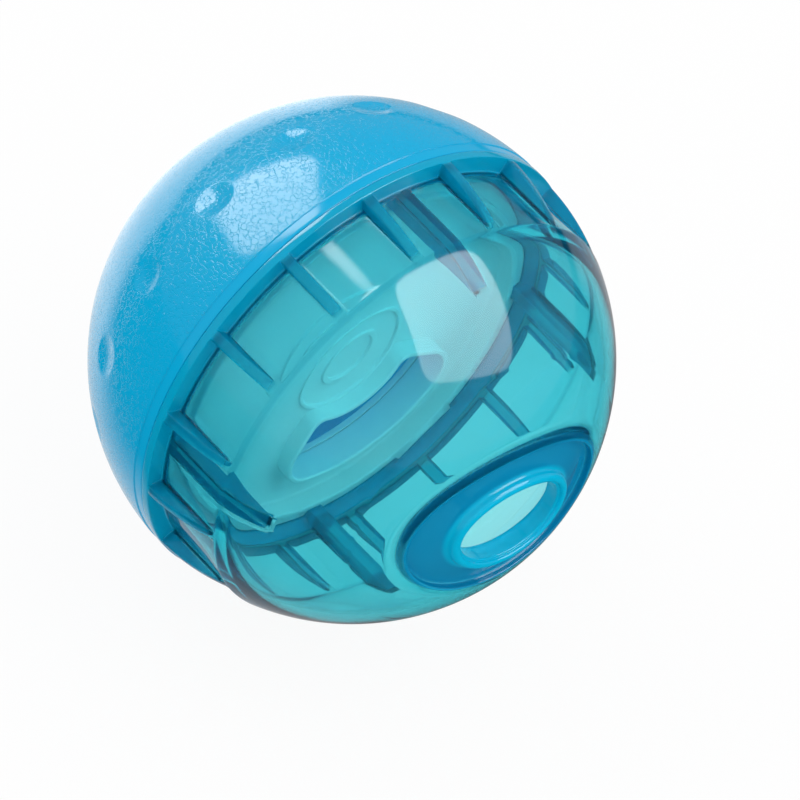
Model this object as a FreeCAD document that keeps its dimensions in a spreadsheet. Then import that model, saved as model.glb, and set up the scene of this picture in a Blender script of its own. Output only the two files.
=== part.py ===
import FreeCAD, Part
import math
import os
import Sketcher

# A treat ball that unscrews into two halves: an opaque dome and a clear bowl with an
# oval exit. A white drum with a half-moon opening divides the ball inside, and a
# shutter disc turns on the drum's hub to narrow that opening.
# The origin is the centre of the ball, +X runs along the screw axis to the exit.

doc = FreeCAD.newDocument("TreatBall")

sizes = [
    ("ball_radius", 63.5, "outside of the closed ball"),
    ("seam_gap", 0.15, "dome's rim to the bowl's flange"),
    ("dome_wall", 2.8, "opaque shell"),
    ("band_width", 2.9, "smooth band along the dome's rim"),
    ("band_step", 0.25, "the band lies under the grained surface"),
    ("dimple_count", 15, "round dimples in one ring"),
    ("dimple_radius", 5.0, "one dimple, across half"),
    ("dimple_depth", 0.8, "at the dimple's middle"),
    ("dimple_ring", 25.0, "seam to the ring of dimples"),
    ("dimple_turn", 5.4, "first dimple past the guide ribs, degrees"),
    ("bowl_wall", 2.2, "clear shell"),
    ("flange_width", 2.3, "clear band on the ball beside the seam"),
    ("recess_depth", 4.3, "ball's surface to the neck between the ribs"),
    ("neck_wall", 3.0, "clear neck between the ribs"),
    ("spigot_inset", 2.6, "neck to the screwed spigot, outside"),
    ("spigot_wall", 2.6, "screwed spigot"),
    ("spigot_length", 9.5, "seam to the spigot's end"),
    ("thread_room", 1.5, "spigot to socket, for the screw ridges"),
    ("grip_count", 16, "grip ribs round the neck"),
    ("grip_width", 2.9, "one grip rib"),
    ("grip_inset", 0.15, "grip rib under the ball's surface"),
    ("guide_count", 4, "guide ribs inside the bowl"),
    ("guide_width", 4.0, "one guide rib"),
    ("guide_gap", 1.2, "edge round the web to the guide ribs"),
    ("guide_step", 1.8, "ledge on each guide rib that carries the drum"),
    ("guide_key", 1.3, "guide rib standing past the drum's shoulder"),
    ("exit_major", 14.9, "half the exit's length"),
    ("exit_minor", 10.8, "half the exit's width"),
    ("exit_depth", 7.3, "ball's pole to the exit's inner end"),
    ("lip_width", 2.9, "raised lip round the exit"),
    ("dish_major", 28.3, "half the length of the sunk oval"),
    ("dish_minor", 20.6, "half the width of the sunk oval"),
    ("dish_depth", 2.0, "sunk oval under the ball's surface"),
    ("drum_wall", 1.6, "web, shoulder and rim"),
    ("drum_face", 1.3, "seam to the edge round the web, on the exit side"),
    ("web_depth", 5.1, "that edge down to the web"),
    ("web_step", 1.6, "that edge down to the shoulder outside it"),
    ("rim_gap", 0.4, "drum's rim inside the spigot"),
    ("shoulder_width", 3.6, "shoulder between that edge and the rim"),
    ("rim_length", 4.0, "rim past the spigot's end, into the dome's ring"),
    ("hub_ring", 7.2, "small raised ring on the web, inside"),
    ("hub_ring_width", 1.6, "small raised ring"),
    ("hub_ring_height", 1.0, "small raised ring"),
    ("hub_edge", 15.6, "large raised ring on the web, inside"),
    ("hub_edge_width", 1.2, "large raised ring"),
    ("hub_edge_height", 0.9, "large raised ring"),
    ("opening_inner", 18.0, "half-moon opening, near edge"),
    ("opening_outer", 37.0, "half-moon opening, far edge"),
    ("opening_angle", 95.0, "half-moon opening, end to end, degrees"),
    ("opening_turn", 22.5, "middle of the opening from straight down, degrees"),
    ("opening_inner_round", 3.0, "corners beside the hub"),
    ("opening_outer_round", 7.0, "corners at the far edge"),
    ("collar_wall", 1.6, "wall round the opening"),
    ("collar_depth", 8.3, "collar along the axis, its top level with the edge round the web"),
    ("shutter_margin", 2.5, "shutter disc past the opening's far edge"),
    ("shutter_thickness", 1.8, "shutter disc"),
    ("shutter_gap", 0.2, "collar to shutter, along the axis"),
    ("guard_gap", 0.5, "shutter's edge to the ring round it"),
    ("pivot_radius", 4.0, "post that the shutter turns on"),
    ("pivot_gap", 0.08, "post in the shutter's bore"),
    ("pivot_shoulder", 3.0, "seat round the post"),
    ("pivot_hook", 1.2, "snap head past the post"),
    ("pivot_head", 1.4, "snap head along the axis"),
    ("tab_length", 12.0, "finger tab on the shutter"),
    ("tab_height", 6.0, "finger tab off the disc"),
    ("tab_width", 2.4, "finger tab"),
    ("ring_gap", 0.4, "spigot and drum's rim to the dome's ring"),
    ("ring_wall", 1.6, "dome's inner ring"),
    ("ring_stop", 2.0, "lip of the ring under the drum's rim"),
]

sheet = doc.addObject("Spreadsheet::Sheet", "Sizes")
for row, (name, value, note) in enumerate(sizes, start=1):
    sheet.set("A%d" % row, name)
    sheet.set("B%d" % row, str(value))
    sheet.setAlias("B%d" % row, name)
    sheet.set("C%d" % row, note)
doc.recompute()

# Radii and places that several pieces share, as expressions on the sheet.
BALL = "Sizes.ball_radius"
NECK = "(Sizes.ball_radius - Sizes.recess_depth)"
NECK_BORE = "(%s - Sizes.neck_wall)" % NECK
SPIGOT = "(%s - Sizes.spigot_inset)" % NECK
SPIGOT_BORE = "(%s - Sizes.spigot_wall)" % SPIGOT
SOCKET = "(%s + Sizes.thread_room)" % SPIGOT
BOWL_BORE = "(Sizes.ball_radius - Sizes.bowl_wall)"
DOME_BORE = "(Sizes.ball_radius - Sizes.dome_wall)"
RIM = "(%s - Sizes.rim_gap)" % SPIGOT_BORE
EDGE = "(%s - Sizes.shoulder_width)" % RIM
GUIDE = "(%s + Sizes.guide_gap)" % EDGE
GUIDE_TOP = "(%s + Sizes.guide_step)" % GUIDE
SHOULDER = "(Sizes.drum_face - Sizes.web_step)"
SHOULDER_BACK = "(%s - Sizes.drum_wall)" % SHOULDER
LEDGE = "(%s + Sizes.seam_gap)" % SHOULDER
RIM_END = "(Sizes.spigot_length + Sizes.rim_length)"
WEB = "(Sizes.drum_face - Sizes.web_depth)"
WEB_BACK = "(%s - Sizes.drum_wall)" % WEB
COLLAR_END = "(Sizes.drum_face - Sizes.collar_depth)"
SHUTTER_FACE = "(%s - Sizes.shutter_gap)" % COLLAR_END
SHUTTER_BACK = "(%s - Sizes.shutter_thickness)" % SHUTTER_FACE
SHUTTER = "(Sizes.opening_outer + Sizes.shutter_margin)"
GUARD = "(%s + Sizes.guard_gap)" % SHUTTER
BORE = "(Sizes.pivot_radius + Sizes.pivot_gap)"

gauge = doc.addObject("App::FeaturePython", "Gauge")
gauge.addProperty("App::PropertyFloat", "reading")


def reading(expression):
    """Value of an expression on the sheet."""
    gauge.setExpression("reading", expression)
    gauge.recompute()
    return gauge.reading


def at_radius(radius, other):
    """Other leg of a right triangle whose long side is the radius."""
    return "sqrt(pow(%s; 2) - pow(%s; 2))" % (radius, other)


def new_body(label):
    body = doc.addObject("PartDesign::Body", label)
    body.Label = label
    return body


def new_sketch(body, name, role, offset=None, turn=None, about=(0, 0, 1)):
    """Sketch on one of the body's own planes, moved or turned by expressions."""
    sketch = body.newObject("Sketcher::SketchObject", name)
    plane = [item for item in body.Origin.OriginFeatures if item.Role == role][0]
    sketch.AttachmentSupport = [(plane, "")]
    sketch.MapMode = "FlatFace"
    if turn:
        rotation = FreeCAD.Rotation(FreeCAD.Vector(*about), reading(turn))
        sketch.AttachmentOffset = FreeCAD.Placement(FreeCAD.Vector(), rotation)
        sketch.setExpression(".AttachmentOffset.Rotation.Angle", turn)
    if offset:
        sketch.setExpression(".AttachmentOffset.Base.z", offset)
    return sketch


def draw_outline(sketch, corners, arcs=None):
    """Closed outline through corners. arcs: index of an edge to its radius about the origin."""
    arcs = arcs or {}
    points = [FreeCAD.Vector(reading(x), reading(y), 0) for x, y in corners]
    count = len(points)
    first, last = {}, {}
    for index, point in enumerate(points):
        following = points[(index + 1) % count]
        if index not in arcs:
            edge = sketch.addGeometry(Part.LineSegment(point, following), False)
            first[index], last[index] = (edge, 1), (edge, 2)
            continue
        start = math.atan2(point.y, point.x)
        end = math.atan2(following.y, following.x)
        circle = Part.Circle(FreeCAD.Vector(), FreeCAD.Vector(0, 0, 1), reading(arcs[index]))
        arc = Part.ArcOfCircle(circle, min(start, end), max(start, end))
        edge = sketch.addGeometry(arc, False)
        first[index], last[index] = ((edge, 1), (edge, 2)) if start < end else ((edge, 2), (edge, 1))
    for index in range(count):
        joint = last[index] + first[(index + 1) % count]
        sketch.addConstraint(Sketcher.Constraint("Coincident", *joint))
    for index, (x, y) in enumerate(corners):
        hold_point(sketch, first[index], x, y, points[index])
    for index, radius in arcs.items():
        number = sketch.addConstraint(
            Sketcher.Constraint("Radius", first[index][0], reading(radius))
        )
        sketch.setExpression("Constraints[%d]" % number, radius)


def hold_point(sketch, where, x, y, point):
    """Place one point of a sketch by its two expressions."""
    for kind, axis, expression, value in (("DistanceX", -2, x, point.x), ("DistanceY", -1, y, point.y)):
        if expression == "0":
            sketch.addConstraint(Sketcher.Constraint("PointOnObject", *where, axis))
            continue
        number = sketch.addConstraint(Sketcher.Constraint(kind, -1, 1, *where, value))
        sketch.setExpression("Constraints[%d]" % number, expression)


def revolve(body, name, corners, arcs=None):
    """Half section, x along the screw axis and y as radius, turned about the axis."""
    sketch = new_sketch(body, name + "Section", "XY_Plane")
    draw_outline(sketch, corners, arcs)
    turned = body.newObject("PartDesign::Revolution", name)
    turned.Profile = sketch
    turned.ReferenceAxis = (sketch, ["H_Axis"])
    turned.Angle = 360
    return turned


def plate(body, name, kind, sketch, width):
    """Pad or pocket of a sketch, half its width to each side of the sketch plane."""
    feature = body.newObject("PartDesign::" + kind, name)
    feature.Profile = sketch
    feature.SideType = "Symmetric"
    feature.setExpression("Length", width)
    return feature


def repeat(body, name, feature, count):
    """Copies of a feature at even angles about the screw axis."""
    doc.recompute()
    pattern = body.newObject("PartDesign::PolarPattern", name)
    pattern.Originals = [feature]
    axis = [item for item in body.Origin.OriginFeatures if item.Role == "X_Axis"][0]
    pattern.Axis = (axis, [""])
    pattern.Angle = 360
    pattern.setExpression("Occurrences", count)
    body.Tip = pattern
    return pattern


def half_moon(margin):
    """Corners and arcs of the half-moon opening, grown outwards by a margin."""
    inner = "(Sizes.opening_inner - %s)" % margin
    outer = "(Sizes.opening_outer + %s)" % margin
    half = "(Sizes.opening_angle / 2 * 1deg)"
    corners = []
    for radius, side in ((inner, "-1"), (outer, "-1"), (outer, "1"), (inner, "1")):
        along = "(%s * cos(%s))" % (radius, half)
        across = "(%s * %s * sin(%s))" % (side, radius, half)
        corners.append(("%s - %s * sin(%s)" % (along, margin, half), "%s + %s * %s * cos(%s)" % (across, side, margin, half)))
    return corners, inner, outer


def build_dome():
    """Opaque half: shell, socket for the spigot, ring that holds the drum, dimples."""
    body = new_body("opaque_dome")
    seat = "(Sizes.spigot_length + Sizes.ring_gap)"
    stop = "(%s + Sizes.ring_gap)" % RIM_END
    bore = "(%s + Sizes.ring_gap)" % RIM
    lip = "(%s - Sizes.ring_stop)" % RIM
    band = at_radius(BALL, "Sizes.band_width")
    web = "(%s + Sizes.ring_wall)" % seat
    corners = [
        ("-Sizes.seam_gap", SOCKET),
        ("-%s" % seat, SOCKET),
        ("-%s" % seat, bore),
        ("-%s" % stop, bore),
        ("-%s" % stop, lip),
        ("-(%s + Sizes.ring_wall)" % stop, lip),
        ("-(%s + Sizes.ring_wall)" % stop, "%s + Sizes.ring_wall" % bore),
        ("-%s" % web, "%s + Sizes.ring_wall" % bore),
        ("-%s" % web, at_radius(DOME_BORE, web)),
        ("-%s" % DOME_BORE, "0"),
        ("-%s" % BALL, "0"),
        ("-Sizes.band_width", band),
        ("-Sizes.band_width", "%s - Sizes.band_step" % band),
        ("-Sizes.seam_gap", "%s - Sizes.band_step" % BALL),
    ]
    revolve(body, "DomeShell", corners, {8: DOME_BORE, 10: BALL})

    # A dimple is a cap cut by a large ball, centred on a line through the ball's centre.
    cutter = "(1 / (2 * Sizes.dimple_depth / pow(Sizes.dimple_radius; 2) - 1 / %s))" % BALL
    reach = "(%s - Sizes.dimple_depth + %s)" % (BALL, cutter)
    lean = "asin(Sizes.dimple_ring / %s)" % BALL
    middle = ("-%s * sin(%s)" % (reach, lean), "%s * cos(%s)" % (reach, lean))
    side = (
        "(%s * cos(%s) - %s * sin(%s))" % (cutter, lean, reach, lean),
        "(%s * sin(%s) + %s * cos(%s))" % (cutter, lean, reach, lean),
    )
    sketch = new_sketch(body, "DimpleSection", "XY_Plane", turn="Sizes.dimple_turn", about=(1, 0, 0))
    centre = FreeCAD.Vector(reading(middle[0]), reading(middle[1]), 0)
    start = FreeCAD.Vector(reading(side[0]), reading(side[1]), 0)
    angle = math.atan2(start.y - centre.y, start.x - centre.x)
    circle = Part.Circle(centre, FreeCAD.Vector(0, 0, 1), reading(cutter))
    arc = sketch.addGeometry(Part.ArcOfCircle(circle, angle, angle + math.pi), False)
    across = sketch.addGeometry(Part.LineSegment(2 * centre - start, start), False)
    sketch.addConstraint(Sketcher.Constraint("Coincident", arc, 2, across, 1))
    sketch.addConstraint(Sketcher.Constraint("Coincident", across, 2, arc, 1))
    sketch.addConstraint(Sketcher.Constraint("PointOnObject", arc, 3, across))
    hold_point(sketch, (arc, 3), middle[0], middle[1], centre)
    hold_point(sketch, (arc, 1), side[0], side[1], start)
    dimple = body.newObject("PartDesign::Groove", "Dimple")
    dimple.Profile = sketch
    dimple.ReferenceAxis = (sketch, ["Edge2"])
    dimple.Angle = 360
    repeat(body, "Dimples", dimple, "Sizes.dimple_count")
    return body


def build_bowl_shell():
    """Clear half without its exit: bowl, neck, flange, spigot and both sets of ribs."""
    body = new_body("BowlShell")
    shoulder = at_radius(BALL, NECK)
    corners = [
        ("-Sizes.spigot_length", SPIGOT_BORE),
        ("-Sizes.spigot_length", SPIGOT),
        ("0", SPIGOT),
        ("0", BALL),
        ("Sizes.flange_width", at_radius(BALL, "Sizes.flange_width")),
        ("Sizes.flange_width", NECK),
        (shoulder, NECK),
        (BALL, "0"),
        (BOWL_BORE, "0"),
        (at_radius(BOWL_BORE, NECK_BORE), NECK_BORE),
        ("Sizes.flange_width", NECK_BORE),
        ("0", SPIGOT_BORE),
    ]
    revolve(body, "Shell", corners, {3: BALL, 6: BALL, 8: BOWL_BORE})

    # Grip ribs fill the recess of the neck and run out where it meets the ball.
    surface = "(%s - Sizes.grip_inset)" % BALL
    root = "(%s - Sizes.neck_wall / 2)" % NECK
    start = "(Sizes.flange_width / 2)"
    turn = "180 / Sizes.grip_count"
    sketch = new_sketch(body, "GripSection", "XY_Plane", turn=turn, about=(1, 0, 0))
    corners = [
        (start, root),
        (start, at_radius(surface, start)),
        (at_radius(surface, root), root),
    ]
    draw_outline(sketch, corners, {1: surface})
    grip = plate(body, "GripRib", "Pad", sketch, "Sizes.grip_width")
    repeat(body, "GripRibs", grip, "Sizes.grip_count")

    # Guide ribs run down the inside. The drum sits on their ledges, and the part of
    # each rib above its ledge keys a notch in the drum's edge.
    middle = "(%s - Sizes.bowl_wall / 2)" % BALL
    top = "(%s - Sizes.guide_key)" % SHOULDER_BACK
    bite = "(%s + Sizes.spigot_wall / 2)" % SPIGOT_BORE
    sketch = new_sketch(body, "GuideSection", "XY_Plane")
    corners = [
        (top, bite),
        (top, GUIDE_TOP),
        (LEDGE, GUIDE_TOP),
        (LEDGE, GUIDE),
        (at_radius(middle, GUIDE), GUIDE),
        (at_radius(middle, root), root),
        ("Sizes.flange_width", root),
        ("0", bite),
    ]
    draw_outline(sketch, corners, {4: middle})
    guide = plate(body, "GuideRib", "Pad", sketch, "Sizes.guide_width")
    repeat(body, "GuideRibs", guide, "Sizes.guide_count")
    return body


def oval_bar(name, major, minor, start):
    """Oval bar along the screw axis, its long way across, from start out past the ball."""
    oval = doc.addObject("Part::Ellipse", name + "Oval")
    oval.setExpression("MajorRadius", major)
    oval.setExpression("MinorRadius", minor)
    across = FreeCAD.Rotation(FreeCAD.Vector(1, 1, 1), 120)
    oval.Placement = FreeCAD.Placement(FreeCAD.Vector(), across)
    oval.setExpression(".Placement.Base.x", start)
    bar = doc.addObject("Part::Extrusion", name)
    bar.Base = oval
    bar.DirMode = "Custom"
    bar.Dir = FreeCAD.Vector(1, 0, 0)
    bar.setExpression("LengthFwd", "%s - %s + Sizes.exit_depth" % (BALL, start))
    bar.Solid = True
    return bar


def ball(name, radius):
    sphere = doc.addObject("Part::Sphere", name)
    sphere.setExpression("Radius", radius)
    return sphere


def join(kind, name, base, tool):
    result = doc.addObject("Part::" + kind, name)
    result.Base = base
    result.Tool = tool
    return result


def build_bowl():
    """Clear half: the shell, and the sunk oval with the lipped exit in its middle."""
    shell = build_bowl_shell()
    well = "(%s / 2)" % BALL
    floor = "(%s - Sizes.dish_depth)" % BALL
    inner_end = "(%s - Sizes.exit_depth)" % BALL

    # The wall follows the sunk oval inwards at its own thickness.
    block = oval_bar("DishBlock", "Sizes.dish_major + Sizes.bowl_wall", "Sizes.dish_minor + Sizes.bowl_wall", well)
    block = join("Common", "DishBlockInBall", block, ball("WallMiddle", "%s - Sizes.bowl_wall / 2" % BALL))
    block = join("Cut", "DishBacking", block, ball("DishBack", "%s - Sizes.bowl_wall" % floor))
    backed = join("Fuse", "BackedShell", shell, block)
    sunk = oval_bar("DishBar", "Sizes.dish_major", "Sizes.dish_minor", well)
    sunk = join("Cut", "SunkOval", sunk, ball("DishFloor", floor))
    sunk = join("Cut", "SunkShell", backed, sunk)

    lip = oval_bar("LipBar", "Sizes.exit_major + Sizes.lip_width", "Sizes.exit_minor + Sizes.lip_width", inner_end)
    lip = join("Common", "Lip", lip, ball("LipTop", BALL))
    lipped = join("Fuse", "LippedShell", sunk, lip)
    hole = oval_bar("ExitBar", "Sizes.exit_major", "Sizes.exit_minor", well)
    bowl = join("Cut", "clear_bowl", lipped, hole)
    bowl.Label = "clear_bowl"
    return bowl


def round_corners(body, name, radial, radius, length):
    """Round the edges along the screw axis that lie at a radius and are long enough."""
    doc.recompute()
    base = body.Tip
    chosen = []
    for index, edge in enumerate(base.Shape.Edges, start=1):
        ends = [vertex.Point for vertex in edge.Vertexes]
        if len(ends) != 2 or abs(abs(ends[0].x - ends[1].x) - edge.Length) > 1e-6:
            continue
        away = math.hypot(ends[0].y, ends[0].z)
        if abs(away - reading(radial)) < 1e-4 and edge.Length > reading(length) - 1e-4:
            chosen.append("Edge%d" % index)
    fillet = body.newObject("PartDesign::Fillet", name)
    fillet.Base = (base, chosen)
    fillet.setExpression("Radius", radius)


def cut_half_moon(body, start, length):
    """Half-moon opening through a disc, with rounded corners."""
    corners, inner, outer = half_moon("0")
    sketch = new_sketch(body, "HalfMoon", "YZ_Plane", offset=start, turn="Sizes.opening_turn - 90")
    draw_outline(sketch, corners, {1: outer, 3: inner})
    cut = body.newObject("PartDesign::Pocket", "Opening")
    cut.Profile = sketch
    cut.setExpression("Length", length)
    round_corners(body, "InnerCorners", "Sizes.opening_inner", "Sizes.opening_inner_round", length)
    round_corners(body, "OuterCorners", "Sizes.opening_outer", "Sizes.opening_outer_round", length)


def build_drum():
    """White drum: web with two rings and the pivot post, edge, shoulder, rim, collar, notches."""
    body = new_body("partition_drum")
    seat = "(Sizes.pivot_radius + Sizes.pivot_shoulder)"
    hook = "(Sizes.pivot_radius + Sizes.pivot_hook)"
    post_end = "(%s - Sizes.shutter_gap)" % SHUTTER_BACK
    rings = []
    for name in ("hub_ring", "hub_edge"):
        inside = "Sizes." + name
        outside = "(Sizes.%s + Sizes.%s_width)" % (name, name)
        top = "(%s + Sizes.%s_height)" % (WEB, name)
        rings += [(WEB, inside), (top, inside), (top, outside), (WEB, outside)]
    corners = [
        (WEB, "0"),
        *rings,
        (WEB, "%s - Sizes.drum_wall" % EDGE),
        ("Sizes.drum_face", "%s - Sizes.drum_wall" % EDGE),
        ("Sizes.drum_face", EDGE),
        (SHOULDER, EDGE),
        (SHOULDER, RIM),
        ("-%s" % RIM_END, RIM),
        ("-%s" % RIM_END, "%s - Sizes.drum_wall" % RIM),
        (SHOULDER_BACK, "%s - Sizes.drum_wall" % RIM),
        (SHOULDER_BACK, EDGE),
        (WEB_BACK, EDGE),
        (WEB_BACK, "%s + Sizes.drum_wall" % GUARD),
        (SHUTTER_BACK, "%s + Sizes.drum_wall" % GUARD),
        (SHUTTER_BACK, GUARD),
        (WEB_BACK, GUARD),
        (WEB_BACK, seat),
        (COLLAR_END, seat),
        (COLLAR_END, "Sizes.pivot_radius"),
        (post_end, "Sizes.pivot_radius"),
        (post_end, hook),
        ("%s - Sizes.pivot_head" % post_end, "Sizes.pivot_radius"),
        ("%s - Sizes.pivot_head" % post_end, "0"),
    ]
    revolve(body, "DrumShell", corners)

    # Collar round the half-moon opening, then the opening itself.
    corners, inner, outer = half_moon("Sizes.collar_wall")
    sketch = new_sketch(body, "CollarOutline", "YZ_Plane", offset=COLLAR_END, turn="Sizes.opening_turn - 90")
    outer_arc = "sqrt(pow(%s * cos(%s) - %s * sin(%s); 2) + pow(%s * sin(%s) + %s * cos(%s); 2))"
    half = "(Sizes.opening_angle / 2 * 1deg)"
    far, near = [
        outer_arc % (radius, half, "Sizes.collar_wall", half, radius, half, "Sizes.collar_wall", half)
        for radius in (outer, inner)
    ]
    draw_outline(sketch, corners, {1: far, 3: near})
    collar = body.newObject("PartDesign::Pad", "Collar")
    collar.Profile = sketch
    collar.setExpression("Length", "Sizes.collar_depth")
    cut_half_moon(body, "Sizes.drum_face", "Sizes.collar_depth")

    # Notches in the shoulder's edge that slide along the keys of the guide ribs.
    sketch = new_sketch(body, "NotchSection", "XY_Plane")
    floor = "(%s - Sizes.ring_gap)" % GUIDE_TOP
    depth = "(%s - Sizes.guide_key - Sizes.ring_gap)" % SHOULDER_BACK
    corners = [
        (depth, floor),
        (depth, SPIGOT_BORE),
        (LEDGE, SPIGOT_BORE),
        (LEDGE, floor),
    ]
    draw_outline(sketch, corners)
    notch = plate(body, "Notch", "Pocket", sketch, "Sizes.guide_width + 2 * Sizes.ring_gap")
    repeat(body, "Notches", notch, "Sizes.guide_count")
    return body


def build_shutter():
    """Shutter disc with the same half-moon opening, and a tab to turn it by."""
    body = new_body("shutter_disc")
    corners = [
        (SHUTTER_BACK, BORE),
        (SHUTTER_BACK, SHUTTER),
        (SHUTTER_FACE, SHUTTER),
        (SHUTTER_FACE, BORE),
    ]
    revolve(body, "Disc", corners)
    cut_half_moon(body, SHUTTER_FACE, "Sizes.shutter_thickness")

    # The finger tab stands on the dome side, opposite the opening.
    sketch = new_sketch(body, "TabSection", "XY_Plane", turn="90 + Sizes.opening_turn", about=(1, 0, 0))
    middle = "((Sizes.opening_inner + Sizes.opening_outer) / 2)"
    back = "(%s - Sizes.tab_height)" % SHUTTER_BACK
    corners = [
        ("%s + Sizes.shutter_thickness / 2" % SHUTTER_BACK, "%s - Sizes.tab_length / 2" % middle),
        (back, "%s - Sizes.tab_length / 3" % middle),
        (back, "%s + Sizes.tab_length / 3" % middle),
        ("%s + Sizes.shutter_thickness / 2" % SHUTTER_BACK, "%s + Sizes.tab_length / 2" % middle),
    ]
    draw_outline(sketch, corners)
    tab = plate(body, "Tab", "Pad", sketch, "Sizes.tab_width")
    body.Tip = tab
    return body


def check_objects():
    for item in doc.Objects:
        if "Invalid" in item.State or "Error" in item.State:
            raise RuntimeError("%s failed: %s" % (item.Label, item.State))


def main():
    pieces = [build_dome(), build_bowl(), build_drum(), build_shutter()]
    doc.recompute()
    check_objects()
    os.makedirs("parts", exist_ok=True)
    for piece in pieces:
        shape = piece.Shape
        if shape.isNull() or not shape.isValid():
            raise RuntimeError("%s has no valid shape" % piece.Label)
        print("%s: %d solid, %.0f mm3" % (piece.Label, len(shape.Solids), shape.Volume))
        shape.exportStep("parts/%s.step" % piece.Label)


main()
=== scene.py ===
import math
import bmesh
import bpy
from mathutils import Matrix, Vector


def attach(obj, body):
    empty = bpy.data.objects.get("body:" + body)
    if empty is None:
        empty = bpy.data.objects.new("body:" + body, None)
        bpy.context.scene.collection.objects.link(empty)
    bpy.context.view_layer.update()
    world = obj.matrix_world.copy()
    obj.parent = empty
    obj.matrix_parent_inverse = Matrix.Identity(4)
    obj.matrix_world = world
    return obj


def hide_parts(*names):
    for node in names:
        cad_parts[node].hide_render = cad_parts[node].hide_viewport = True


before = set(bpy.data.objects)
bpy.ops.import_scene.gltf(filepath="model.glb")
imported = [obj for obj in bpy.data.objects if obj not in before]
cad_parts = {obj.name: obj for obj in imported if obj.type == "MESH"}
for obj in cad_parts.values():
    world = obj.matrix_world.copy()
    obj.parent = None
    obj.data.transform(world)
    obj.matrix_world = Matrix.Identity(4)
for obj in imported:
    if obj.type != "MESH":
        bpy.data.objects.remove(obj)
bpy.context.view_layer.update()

# Sizes are in millimetres, x runs along the screw axis to the exit, r is the distance
# from that axis, and angles are in degrees about it, from +Y towards +Z.
mm = 0.001

ball = {
    "radius": 63.5,
    "seamGap": 0.15,
    "columns": 480,          # points round the dome
}


# Meshes

meshing = {
    "weld": 0.002,           # points closer than this become one
    "sharpAbove": 36,        # degrees between two faces that stay an edge
    "cornerSteps": 4,        # over a corner's rounding
    "cornerReach": 0.45,     # most that a rounding takes of a side
    "barSteps": 6,           # over the rounded end of a bar
}


def makePiece(name, points, faces):
    mesh = bpy.data.meshes.new(name)
    mesh.from_pydata([tuple(v * mm for v in point) for point in points], [], faces)
    work = bmesh.new()
    work.from_mesh(mesh)
    bmesh.ops.remove_doubles(work, verts=work.verts, dist=meshing["weld"] * mm)
    bmesh.ops.recalc_face_normals(work, faces=work.faces)
    work.to_mesh(mesh)
    work.free()
    piece = bpy.data.objects.new(name, mesh)
    bpy.context.scene.collection.objects.link(piece)
    smoothen(piece)
    return piece


def smoothen(piece):
    piece.data.polygons.foreach_set("use_smooth", [True] * len(piece.data.polygons))
    piece.data.set_sharp_from_angle(angle=math.radians(meshing["sharpAbove"]))


def roundNormals(piece, radii):  # true normals, which uneven columns would tilt
    mesh = piece.data
    near = meshing["weld"] * mm
    away = [math.hypot(vertex.co.y, vertex.co.z) for vertex in mesh.vertices]
    level = [0] * len(mesh.vertices)  # neighbours with the same x and r
    sharp = set()
    for edge in mesh.edges:
        one, other = edge.vertices
        if edge.use_edge_sharp:
            sharp.update((one, other))
        apart = abs(mesh.vertices[one].co.x - mesh.vertices[other].co.x)
        if apart < near and abs(away[one] - away[other]) < near:
            level[one] += 1
            level[other] += 1
    normals = []
    for index, vertex in enumerate(mesh.vertices):
        spot, normal = vertex.co, vertex.normal
        true = Vector((0, 0, 0))  # keeps Blender's own
        if index not in sharp and min(abs(spot.length - radius * mm) for radius in radii) < near:
            true = spot.normalized() * (1 if normal.dot(spot) > 0 else -1)
        elif index not in sharp and level[index] == 2 and away[index] > near:
            outward = math.sqrt(max(0, 1 - normal.x ** 2))
            outward = math.copysign(outward, normal.y * spot.y + normal.z * spot.z)
            true = Vector((normal.x, spot.y * outward / away[index], spot.z * outward / away[index]))
        normals.append(true)
    mesh.normals_split_custom_set_from_vertices(normals)


def ringPiece(name, rings, closed=True):  # rings of points, each joined to the next one
    around = len(rings[0])
    faces = []
    for row in range(len(rings) if closed else len(rings) - 1):
        nextRow = (row + 1) % len(rings)
        if max(math.hypot(y, z) for x, y, z in rings[row] + rings[nextRow]) < meshing["weld"]:
            continue  # both rings are a point on the axis
        low, high = row * around, nextRow * around
        for col in range(around):
            side = (col + 1) % around
            faces.append((low + col, low + side, high + side, high + col))
    return makePiece(name, [point for ring in rings for point in ring], faces)


def polar(x, r, angle):
    return x, r * math.cos(math.radians(angle)), r * math.sin(math.radians(angle))


def spin(profile, angles):
    return [[polar(x, r, angle) for angle in angles] for x, r in profile]


def evenAngles(count):
    return [360 * k / count for k in range(count)]


def onBall(radius, fromX, toX, steps):  # profile points on an arc about the ball's centre
    start = math.acos(fromX / radius)
    end = math.acos(toX / radius)
    turns = [start + (end - start) * k / steps for k in range(steps + 1)]
    return [(radius * math.cos(turn), radius * abs(math.sin(turn)), 0) for turn in turns]


def bendCorners(profile, closed=False):  # (x, r, rounding) to (x, r), with rounded corners
    steps, reach = meshing["cornerSteps"], meshing["cornerReach"]
    out = []
    for index, (x, r, rounding) in enumerate(profile):
        if not rounding or (not closed and index in (0, len(profile) - 1)):
            out.append((x, r))
            continue
        here = Vector((x, r))
        back = Vector(profile[index - 1][:2]) - here
        ahead = Vector(profile[(index + 1) % len(profile)][:2]) - here
        start = here + back.normalized() * min(rounding, back.length * reach)
        end = here + ahead.normalized() * min(rounding, ahead.length * reach)
        for k in range(steps + 1):
            t = k / steps
            point = start * (1 - t) ** 2 + here * 2 * t * (1 - t) + end * t * t
            out.append((point.x, point.y))
    return out


def smoothStep(low, high, value):
    t = min(1.0, max(0.0, (value - low) / (high - low)))
    return t * t * (3 - 2 * t)


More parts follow.
